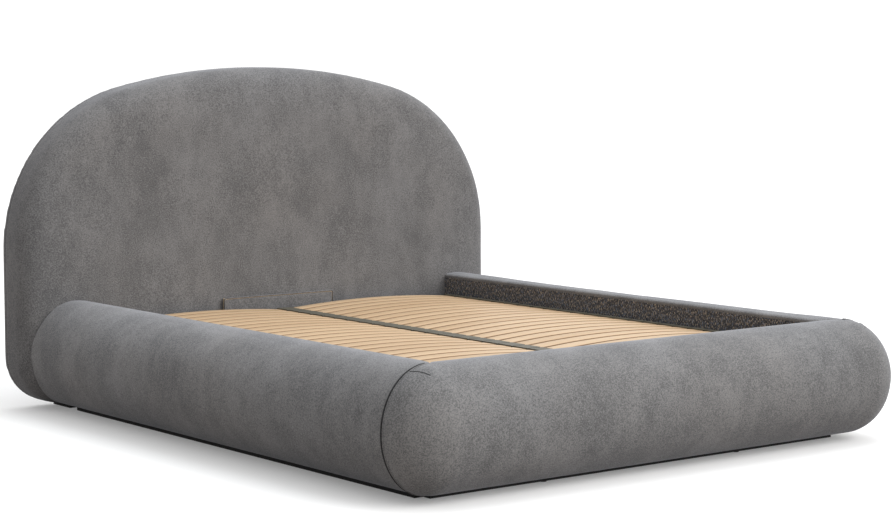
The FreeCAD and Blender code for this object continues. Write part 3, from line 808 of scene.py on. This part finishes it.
slatShape = {
    "Slats": 25, "Width": 0.063, "Thickness": 0.008, "Camber": 0.018,
    "Edge": 0.0022,           # radius of the slat's long edges
    "Start": 0.012,           # nearest the middle of the bed
    "Under": 0.300,           # underside at a slat's end
}
slatLow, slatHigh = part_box("slats_right")
slatShape["First"] = slatLow.y + slatShape["Width"] / 2
slatShape["Pitch"] = (slatHigh.y - slatLow.y - slatShape["Width"]) / (slatShape["Slats"] - 1)
slatShape["End"] = slatHigh.x


def slatBank():
    g = Recipe("slatBank", {key: slatShape[key] for key in slatShape} | {"Seed": 4})
    e = g.entry
    middle = e["Under"] + e["Thickness"] * 0.5
    ends = [g.vector(e[key], e["First"], middle) for key in ("Start", "End")]
    top = g.vector((e["Start"] + e["End"]) * 0.5, e["First"], middle + e["Camber"])
    bow = g.node("GeometryNodeCurveArc", {"mode": "POINTS"},
                 {"Resolution": 20, "Start": ends[0], "Middle": top, "End": ends[1]})
    bow = g.node("GeometryNodeSetCurveNormal", {"mode": "Z_UP"}, {"Curve": bow})
    outline = g.node("GeometryNodeCurvePrimitiveQuadrilateral", {"mode": "RECTANGLE"},
                     {"Width": e["Width"], "Height": e["Thickness"]})
    outline = g.node("GeometryNodeFilletCurve", {"mode": "POLY"},
                     {"Curve": outline, "Count": 2, "Radius": e["Edge"]})
    spot = g.node("GeometryNodeInputPosition")
    across = g.node("ShaderNodeSeparateXYZ", {}, {"Vector": spot}, "X")
    height = g.node("ShaderNodeSeparateXYZ", {}, {"Vector": spot}, "Y")
    side = g.node("ShaderNodeMath", {"operation": "ABSOLUTE"}, {0: across})
    side = g.node("ShaderNodeMath", {"operation": "GREATER_THAN"},
                  {0: side, 1: e["Width"] * 0.5 - e["Edge"] * 0.5})
    for title, value in (("ply", height), ("edge", side)):
        outline = g.node("GeometryNodeStoreNamedAttribute", {"data_type": "FLOAT", "domain": "POINT"},
                         {"Geometry": outline, "Name": title, "Value": value})
    slat = g.node("GeometryNodeCurveToMesh", {}, {"Curve": bow, "Profile Curve": outline,
                                                  "Fill Caps": True})
    row = g.node("GeometryNodeMeshLine", {"mode": "OFFSET"},
                 {"Count": e["Slats"], "Start Location": (0, 0, 0), "Offset": g.vector(0, e["Pitch"], 0)})
    bank = g.node("GeometryNodeInstanceOnPoints", {}, {"Points": row, "Instance": slat})
    tone = g.node("FunctionNodeRandomValue", {"data_type": "FLOAT"}, {"Seed": e["Seed"]}, 1)
    bank = g.node("GeometryNodeStoreNamedAttribute", {"data_type": "FLOAT", "domain": "INSTANCE"},
                  {"Geometry": bank, "Name": "slatTone", "Value": tone})
    g.close(bank)
    return g


slatRecipe = slatBank()
for side, turn, seed in (("Left", -1, 4), ("Right", 1, 9)):
    ends = sorted((turn * slatShape["Start"], turn * slatShape["End"]))
    sizes = {**slatShape, "Start": ends[0], "End": ends[1], "Seed": seed}
    slats = grow(f"slatBank{side}", slatRecipe, sizes, finishes["beech"])
    cleanMesh(slats)
    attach(slats, "platform")
    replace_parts(slats, f"slats_{side.lower()}")
print("slats made")

# slat holders

holderShape = {
    "Holders": 25, "Wall": 0.003, "Fit": 0.0003,
    "Foot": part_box("slat_caps_right")[0].z,
    "Top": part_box("slat_caps_right")[1].z,
    "Web": 0.7853,            # solid end of a side holder's pocket
    "Back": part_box("slat_caps_right")[1].x,
    "Mouth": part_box("slat_caps_right")[0].x,
    "Round": 0.0014,
}


def holderRow():
    # a pocket open at Mouth, closed between Web and Back
    g = Recipe("holderRow", {**holderShape, "First": 0.0, "Pitch": 0.1, "Width": 0.063,
                             "Thickness": 0.008, "Under": 0.300})
    e = g.entry
    outerWidth = e["Width"] + (e["Wall"] + e["Fit"]) * 2
    outerHeight = e["Top"] - e["Foot"]
    outer = g.node("GeometryNodeCurvePrimitiveQuadrilateral", {"mode": "RECTANGLE"},
                   {"Width": outerWidth, "Height": outerHeight})
    outer = g.node("GeometryNodeFilletCurve", {"mode": "POLY"},
                   {"Curve": outer, "Count": 3, "Radius": e["Round"]})
    outer = g.node("GeometryNodeTransform", {}, {
        "Geometry": outer, "Translation": g.vector(0, (e["Top"] + e["Foot"]) * 0.5, 0)})
    roomHigh = e["Top"] - e["Wall"]
    roomLow = e["Under"] - e["Fit"]
    pocket = g.node("GeometryNodeCurvePrimitiveQuadrilateral", {"mode": "RECTANGLE"},
                    {"Width": e["Width"] + e["Fit"] * 2, "Height": roomHigh - roomLow})
    pocket = g.node("GeometryNodeTransform", {}, {
        "Geometry": pocket, "Translation": g.vector(0, (roomHigh + roomLow) * 0.5, 0)})

    def block(curves, start, end):
        face = g.node("GeometryNodeFillCurve", {"mode": "TRIANGLES"}, {"Curve": curves})
        pushed = g.node("GeometryNodeExtrudeMesh", {"mode": "FACES"},
                        {"Mesh": face, "Offset": g.vector(0, 0, 1), "Offset Scale": end - start,
                         "Individual": False})
        base = g.node("GeometryNodeFlipFaces", {}, {"Mesh": face})
        closed = g.node("GeometryNodeJoinGeometry", {}, {"Geometry": [pushed, base]})
        return g.node("GeometryNodeTransform", {}, {"Geometry": closed,
                                                    "Translation": g.vector(0, 0, start)})

    both = g.node("GeometryNodeJoinGeometry", {}, {"Geometry": [outer, pocket]})
    sleeve = block(both, e["Web"], e["Mouth"])
    web = block(outer, e["Back"], e["Web"])
    holder = g.node("GeometryNodeJoinGeometry", {}, {"Geometry": [sleeve, web]})
    holder = g.node("GeometryNodeTransform", {}, {      # outline's width along Y, its height up
        "Geometry": holder, "Rotation": (math.pi / 2, 0, math.pi / 2)})
    row = g.node("GeometryNodeMeshLine", {"mode": "OFFSET"},
                 {"Count": e["Holders"], "Start Location": g.vector(0, e["First"], 0),
                  "Offset": g.vector(0, e["Pitch"], 0)})
    g.close(g.node("GeometryNodeInstanceOnPoints", {}, {"Points": row, "Instance": holder}))
    return g


def holders(name, nodes, pockets):
    made = []
    for k, pocket in enumerate(pockets):
        sizes = {**holderShape, **pocket}
        sizes.update({key: slatShape[key] for key in ("First", "Pitch", "Width", "Thickness", "Under")})
        made.append(grow(f"{name}{k or ''}", holderRecipe, sizes, finishes["holder"]))
    work = bmesh.new()
    for part in made:
        work.from_mesh(part.data)
    bmesh.ops.remove_doubles(work, verts=work.verts, dist=0.00001)
    bmesh.ops.recalc_face_normals(work, faces=work.faces)
    work.to_mesh(made[0].data)
    work.free()
    for part in made[1:]:
        bpy.data.objects.remove(part)
    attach(made[0], "platform")
    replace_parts(made[0], *nodes)


holderRecipe = holderRow()
mirror = {key: -holderShape[key] for key in ("Web", "Back", "Mouth")}
webHalf = slatShape["Start"] - holderShape["Fit"]
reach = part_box("slat_caps_centre")[1].x
holders("sideHoldersRight", ["slat_caps_right"], [{}])
holders("sideHoldersLeft", ["slat_caps_left"], [mirror])
holders("twinHolders", ["slat_caps_centre"],
        [{"Back": 0.0, "Web": webHalf, "Mouth": reach}, {"Back": 0.0, "Web": -webHalf, "Mouth": -reach}])
print("holders made")

# felt on the inner faces

feltShape = {"thick": 0.0022, "wave": 0.0006, "grid": 0.03}


def feltPanel(name, node, along):
    # along is the axis it runs along; the face to the well stays on the CAD plane
    low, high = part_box(node)
    across = 1 - along
    inner = (low if abs(low[across]) < abs(high[across]) else high)[across]
    outward = math.copysign(1, inner)
    columns = max(2, round((high[along] - low[along]) / feltShape["grid"]))
    rows = round((high.z - low.z) / feltShape["grid"])
    verts, faces = [], []
    for depth in (0.0, feltShape["thick"]):
        for c in range(columns + 1):
            for k in range(rows + 1):
                point = Vector((0, 0, low.z + (high.z - low.z) * k / rows))
                point[along] = low[along] + (high[along] - low[along]) * c / columns
                wave = feltShape["wave"] * (0.5 + 0.5 * noise.noise(point * 7))
                point[across] = inner + outward * (depth + wave)
                verts.append(tuple(point))
    size = (columns + 1) * (rows + 1)

    def at(layer, c, k):
        return layer * size + c * (rows + 1) + k

    for c in range(columns):
        for k in range(rows):
            for layer in (0, 1):
                faces.append((at(layer, c, k), at(layer, c + 1, k), at(layer, c + 1, k + 1), at(layer, c, k + 1)))
    rim = [(c, 0) for c in range(columns)] + [(columns, k) for k in range(rows)]
    rim += [(c, rows) for c in range(columns, 0, -1)] + [(0, k) for k in range(rows, 0, -1)]
    for (c, k), (c2, k2) in zip(rim, rim[1:] + rim[:1]):
        faces.append((at(0, c, k), at(0, c2, k2), at(1, c2, k2), at(1, c, k)))
    obj = newPiece(name, verts, faces, finishes["felt"], smooth=False)
    cleanMesh(obj)
    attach(obj, "bed_base")
    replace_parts(obj, node)
    return obj


feltPanel("feltRight", "side_lining_right", 1)
feltPanel("feltLeft", "side_lining_left", 1)
feltPanel("feltFoot", "foot_lining", 0)
print("felt made")

# rows of stitches and staples

def stitchRow():
    # one small rounded bar at every step along a path
    g = Recipe("stitchRow", {"Step": 0.009, "Length": 0.006, "Thick": 0.0009})
    e = g.entry
    path = g.node("GeometryNodeMeshToCurve", {}, {"Mesh": e["Geometry"]})
    points = g.node("GeometryNodeCurveToPoints", {"mode": "LENGTH"},
                    {"Curve": path, "Length": e["Step"]})
    tangent = Signal(g, points.socket.node.outputs["Tangent"])
    turn = g.node("FunctionNodeAlignRotationToVector", {"axis": "X"}, {"Vector": tangent})
    bead = g.node("GeometryNodeMeshUVSphere", {}, {"Segments": 6, "Rings": 5, "Radius": 0.5})
    bead = g.node("GeometryNodeSetShadeSmooth", {}, {"Geometry": bead})
    scale = g.vector(e["Length"], e["Thick"], e["Thick"])
    g.close(g.node("GeometryNodeInstanceOnPoints", {}, {"Points": points, "Instance": bead,
                                                        "Rotation": turn, "Scale": scale}))
    return g


def roundCord():
    # a thin round cord laid along a path
    g = Recipe("roundCord", {"Thick": 0.0016, "Sides": 8})
    e = g.entry
    path = g.node("GeometryNodeMeshToCurve", {}, {"Mesh": e["Geometry"]})
    ring = g.node("GeometryNodeCurvePrimitiveCircle", {"mode": "RADIUS"},
                  {"Resolution": e["Sides"], "Radius": e["Thick"] * 0.5})
    cord = g.node("GeometryNodeCurveToMesh", {}, {"Curve": path, "Profile Curve": ring,
                                                  "Fill Caps": True})
    g.close(cord)
    return g


stitchRecipe = stitchRow()
cordRecipe = roundCord()


def detail(obj, body, slot):
    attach(obj, body)
    return obj


# seams of the upholstery

seamShape = {
    "gap": 0.0085,            # stitches beside the foot rail's end seams
    "stitch": {"Step": 0.0085, "Length": 0.0058, "Thick": 0.0010},
    "dart": [(-0.927, -1.0565, 0.3785), (-0.917, -1.080, 0.3800), (-0.907, -1.102, 0.3785),
             (-0.8985, -1.1225, 0.3735)],
    # thickness of the near-black cord that paints the dart's shadow
    "dartShadowCord": 0.0034,
    # a near-black cord in the groove of each foot seam, painted shadow of the gap between side rail and foot rail
    "shadow": {"thick": 0.0085, "depth": 0.0030, "behind": 0.0045},
    "welt": {"thick": 0.0040, "depth": 0.0012, "behind": -0.0030},
}


def footSeamPath(turnGap, lift):
    # beside the left seam of the foot rail, from the crest down to the underside
    ring, normals = railRing()
    outer = [p for p in ring if p[0] > 0.012]
    points = []
    for o, z in reversed(outer):
        turn = math.asin(min(turnGap / o, 1.0))
        points.append((-crest["x"] - o * math.cos(turn), crest["y"] - o * math.sin(turn), z))
    return snap(surfaceOf(footRail), points, lift)


leftStitches = grow("footSeamStitchesLeft", stitchRecipe, seamShape["stitch"], finishes["thread"],
                    footSeamPath(seamShape["gap"], 0.0))
detail(leftStitches, "bed_base", "upholstery")
detail(mirrored(leftStitches, "footSeamStitchesRight"), "bed_base", "upholstery")


def seamRun(cord):
    # round the joint of a side rail and the foot rail, under the surface by the cord's depth
    ring, normals = railRing()
    y = crest["y"] + cord["behind"]
    return [Vector((-(crest["x"] + o - n[0] * cord["depth"]), y, z - n[1] * cord["depth"]))
            for (o, z), n in zip(ring, normals) if o > 0.004]


# the dark cord paints the seam's shadow; the welt is plain velvet
for name, finish in (("shadow", "velvetSeamShadow"), ("welt", "velvet")):
    cord = seamShape[name]
    left = grow(f"footSeam{name.title()}Left", cordRecipe, {"Thick": cord["thick"]}, finishes[finish],
                seamRun(cord))
    detail(left, "bed_base", "upholstery")
    detail(mirrored(left, f"footSeam{name.title()}Right"), "bed_base", "upholstery")
# the dart is drawn as a near-black cord along its line, painted shadow of the dart seam
dartPath = [Vector(p) for p in seamShape["dart"]]
fine = []
for a, b in zip(dartPath, dartPath[1:]):
    fine += [a.lerp(b, k / 5) for k in range(5)]
fine.append(dartPath[-1])
leftDart = grow("dartSeamShadowLeft", cordRecipe, {"Thick": seamShape["dartShadowCord"]}, finishes["velvetSeamShadow"],
                snap(surfaceOf(footRail), fine, -0.0003))
detail(leftDart, "bed_base", "upholstery")
detail(mirrored(leftDart, "dartSeamShadowRight"), "bed_base", "upholstery")

arch = headOutline(0.0, seamY - seamShape["gap"], 0.012)
headPath = snap(surfaceOf(headboard), arch + arch[:1], 0.0)
detail(grow("headSeamStitches", stitchRecipe, seamShape["stitch"], finishes["thread"], headPath),
       "bed_base", "upholstery")
print("seams made")

# cloth on the back of the headboard

backShape = {"margin": 0.045, "thick": 0.0011, "staple": {"Step": 0.034, "Length": 0.011, "Thick": 0.0009}}


def backCloth():
    y = headHigh.y - 0.0018
    insets = [0.045, 0.050, 0.058, 0.070, 0.090, 0.115, 0.145]
    rings = [headOutline(inset, y) for inset in insets]
    verts = []
    for k, ring in enumerate(rings):
        for p in ring:
            ripple = 0.0006 * noise.noise(p * 9) * min(k, 2) / 2
            verts.append((p.x, p.y + min(ripple, 0.0), p.z))
    count = len(rings[0])
    faces = []
    for s in range(len(rings) - 1):
        for k in range(count):
            a, b = s * count + k, s * count + (k + 1) % count
            faces.append((a, b, b + count, a + count))
    last = (len(rings) - 1) * count
    faces.append(tuple(range(last, last + count)))
    obj = newPiece("backCloth", verts, faces, finishes["backing"], smooth=False)
    cleanMesh(obj)
    addModifier(obj, "SOLIDIFY", thickness=backShape["thick"], offset=0.0)
    settle(obj)
    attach(obj, "bed_base")
    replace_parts(obj, "headboard_back_cloth")
    return obj


backCloth()
staplePath = headOutline(backShape["margin"] + 0.007, headHigh.y - 0.0012, 0.012)
detail(grow("backStaples", stitchRecipe, backShape["staple"], finishes["zinc"],
            staplePath + staplePath[:1]), "bed_base", "stud_steel")
print("back cloth made")

# mattress stop

stopShape = {
    "voxel": 0.0045, "round": 0.006,
    "swell": {"pressure": 2.0, "stiffness": 40.0, "frames": 10, "cap": 0.0015},
    "piping": 0.005,
}


def mattressStop():
    low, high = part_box("mattress_stop_cover")
    shrink = 0.001
    work = bmesh.new()
    bmesh.ops.create_cube(work, size=1.0)
    for vert in work.verts:
        share = [0.5 + c for c in vert.co]
        vert.co = Vector([low[k] + shrink + (high[k] - low[k] - 2 * shrink) * share[k] for k in range(3)])
    mesh = bpy.data.meshes.new("mattressStop")
    work.to_mesh(mesh)
    work.free()
    obj = link(bpy.data.objects.new("mattressStop", mesh))
    addModifier(obj, "BEVEL", width=stopShape["round"], segments=4)
    addModifier(obj, "REMESH", mode="VOXEL", voxel_size=stopShape["voxel"], use_smooth_shade=True)
    settle(obj)
    plump(obj, lambda co: 1 - smoothStep(co.z, low.z, low.z + 0.03), stopShape["swell"])
    addModifier(obj, "SMOOTH", factor=0.5, iterations=2)
    settle(obj)
    # the stop and its piping take the darker velvet copy, painted shade
    obj.data.materials.clear()
    obj.data.materials.append(finishes["velvetShadedCopy"])
    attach(obj, "platform")
    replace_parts(obj, "mattress_stop_cover")
    y, edge = low.y + 0.001, stopShape["round"]
    side = high.x - 0.002
    corner = [(side - edge * (1 - math.cos(t)), high.z - 0.001 - edge * (1 - math.sin(t)))
              for t in (0, math.pi / 8, math.pi / 4, math.pi * 3 / 8, math.pi / 2)]
    up = [(side, low.z + 0.004)] + corner
    path = [Vector((-x, y, z)) for x, z in up] + [Vector((x, y, z)) for x, z in reversed(up)]
    piping = {"Thick": stopShape["piping"], "Sides": 10}
    detail(grow("stopPiping", cordRecipe, piping, finishes["velvetShadedCopy"], path), "platform", "upholstery")


mattressStop()
print("mattress stop made")

# pull strap

strapShape = {"width": 0.025, "thick": 0.0018, "radius": 0.050, "leg": 0.020}


def pullStrap():
    low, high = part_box("pull_strap")
    s = strapShape
    y = (low.y + high.y) / 2
    centre = high.z - 0.022
    middle = s["radius"] - s["width"] / 2
    line = [(-middle, centre + s["leg"]), (-middle, centre + s["leg"] / 2)]
    line += [(-middle * math.cos(t), centre - middle * math.sin(t))
             for t in [math.pi * k / 16 for k in range(17)]]
    line += [(middle, centre + s["leg"] / 2), (middle, centre + s["leg"])]
    verts, faces = [], []
    half = s["width"] / 2 - 0.0008
    lanes = [-half, -half * 0.85, -half * 0.5, 0.0, half * 0.5, half * 0.85, half]
    for k, (x, z) in enumerate(line):
        before, after = line[max(k - 1, 0)], line[min(k + 1, len(line) - 1)]
        run = Vector((after[0] - before[0], after[1] - before[1])).normalized()
        for lane in lanes:
            rib = 0.0002 * math.cos(lane / half * math.pi * 3)
            verts.append((x - run.y * lane, y + rib, z + run.x * lane))
    count = len(lanes)
    for k in range(len(line) - 1):
        for m in range(count - 1):
            a = k * count + m
            faces.append((a, a + 1, a + 1 + count, a + count))
    obj = newPiece("pullStrap", verts, faces, finishes["webbing"])
    addModifier(obj, "SOLIDIFY", thickness=s["thick"] * 0.8, offset=0.0)
    addModifier(obj, "SUBSURF", levels=1, render_levels=1)
    settle(obj)
    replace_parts(detail(obj, "platform", "webbing"), "pull_strap")
    for k, side in enumerate((-1, 1)):
        x = side * middle
        box = [(x - 0.008, centre + 0.006), (x + 0.008, centre + 0.006), (x + 0.008, centre + 0.017),
               (x - 0.008, centre + 0.017), (x - 0.008, centre + 0.006)]
        path = [Vector((px, low.y - 0.0001, pz)) for px, pz in box]
        detail(grow(f"strapStitches{k}", stitchRecipe, {"Step": 0.0032, "Length": 0.0024, "Thick": 0.0007},
                    finishes["thread"], path), "platform", "webbing")


pullStrap()
print("pull strap made")

# camera and light

camera = bpy.data.cameras.new("camera")
camera.lens = 87.9
camera.sensor_width = 36.0
camera.clip_end = 200
cameraObj = link(bpy.data.objects.new("camera", camera))
cameraObj.location = (-4.553, -5.893, 1.239)
cameraObj.rotation_euler = (math.radians(84.8), math.radians(0.0), math.radians(-37.9))
scene.camera = cameraObj
scene.view_settings.view_transform = "Standard"

# soft surround: brighter from above and from the bed's right
sky = {"even": 0.92, "right": 0.36, "above": 0.22, "least": 0.40}
world = bpy.data.worlds.new("studio")
world.use_nodes = True
tree = world.node_tree
tree.nodes["Background"].inputs["Color"].default_value = (1, 1, 1, 1)
spot = tree.nodes.new("ShaderNodeTexCoord")
tilt = tree.nodes.new("ShaderNodeVectorMath")
tilt.operation = "DOT_PRODUCT"
tilt.inputs[1].default_value = (sky["right"], 0.0, sky["above"])
lift = tree.nodes.new("ShaderNodeMath")
lift.operation = "ADD"
lift.inputs[1].default_value = sky["even"]
least = tree.nodes.new("ShaderNodeMath")
least.operation = "MAXIMUM"
least.inputs[1].default_value = sky["least"]
tree.links.new(spot.outputs["Generated"], tilt.inputs[0])
tree.links.new(tilt.outputs["Value"], lift.inputs[0])
tree.links.new(lift.outputs[0], least.inputs[0])
tree.links.new(least.outputs[0], tree.nodes["Background"].inputs["Strength"])
scene.world = world


def softBox(name, place, aim, size, power, tint):
    lamp = bpy.data.lights.new(name, "AREA")
    lamp.shape = "RECTANGLE"
    lamp.size, lamp.size_y = size
    lamp.energy = power
    lamp.color = tint
    obj = link(bpy.data.objects.new(name, lamp))
    obj.location = place
    obj.rotation_euler = (Vector(aim) - Vector(place)).to_track_quat("-Z", "Y").to_euler()


softBox("overhead", (0.9, -0.1, 4.2), (0.3, 0, 0), (3.6, 3.6), 75, (0.90, 0.95, 1.0))
sun = bpy.data.lights.new("front", "SUN")
sun.energy = 1.8
sun.angle = math.radians(50)
sun.color = (1.0, 0.995, 0.98)
sunObj = link(bpy.data.objects.new("front", sun))
sunObj.rotation_euler = Vector((0.45, -0.75, 0.5)).to_track_quat("Z", "Y").to_euler()

floorMesh = bpy.data.meshes.new("floor")
floorSize = 40.0
floorMesh.from_pydata([(-floorSize, -floorSize, 0), (floorSize, -floorSize, 0),
                       (floorSize, floorSize, 0), (-floorSize, floorSize, 0)], [], [(0, 1, 2, 3)])
floor = link(bpy.data.objects.new("floor", floorMesh))
pale = Finish("pale_floor", Roughness=0.75, Specular_IOR_Level=0.0, Emission_Strength=1.0)
seen = pale.node("ShaderNodeLightPath", {}, {}, "Is Camera Ray")
pale.give({"Base Color": pale.mix(seen, (0.38, 0.350, 0.325), (0.82, 0.82, 0.82)),
           "Emission Color": pale.mix(seen, (0.0, 0.0, 0.0), (0.20, 0.20, 0.20))})
floorMesh.materials.append(pale.material)
print("light and camera set")
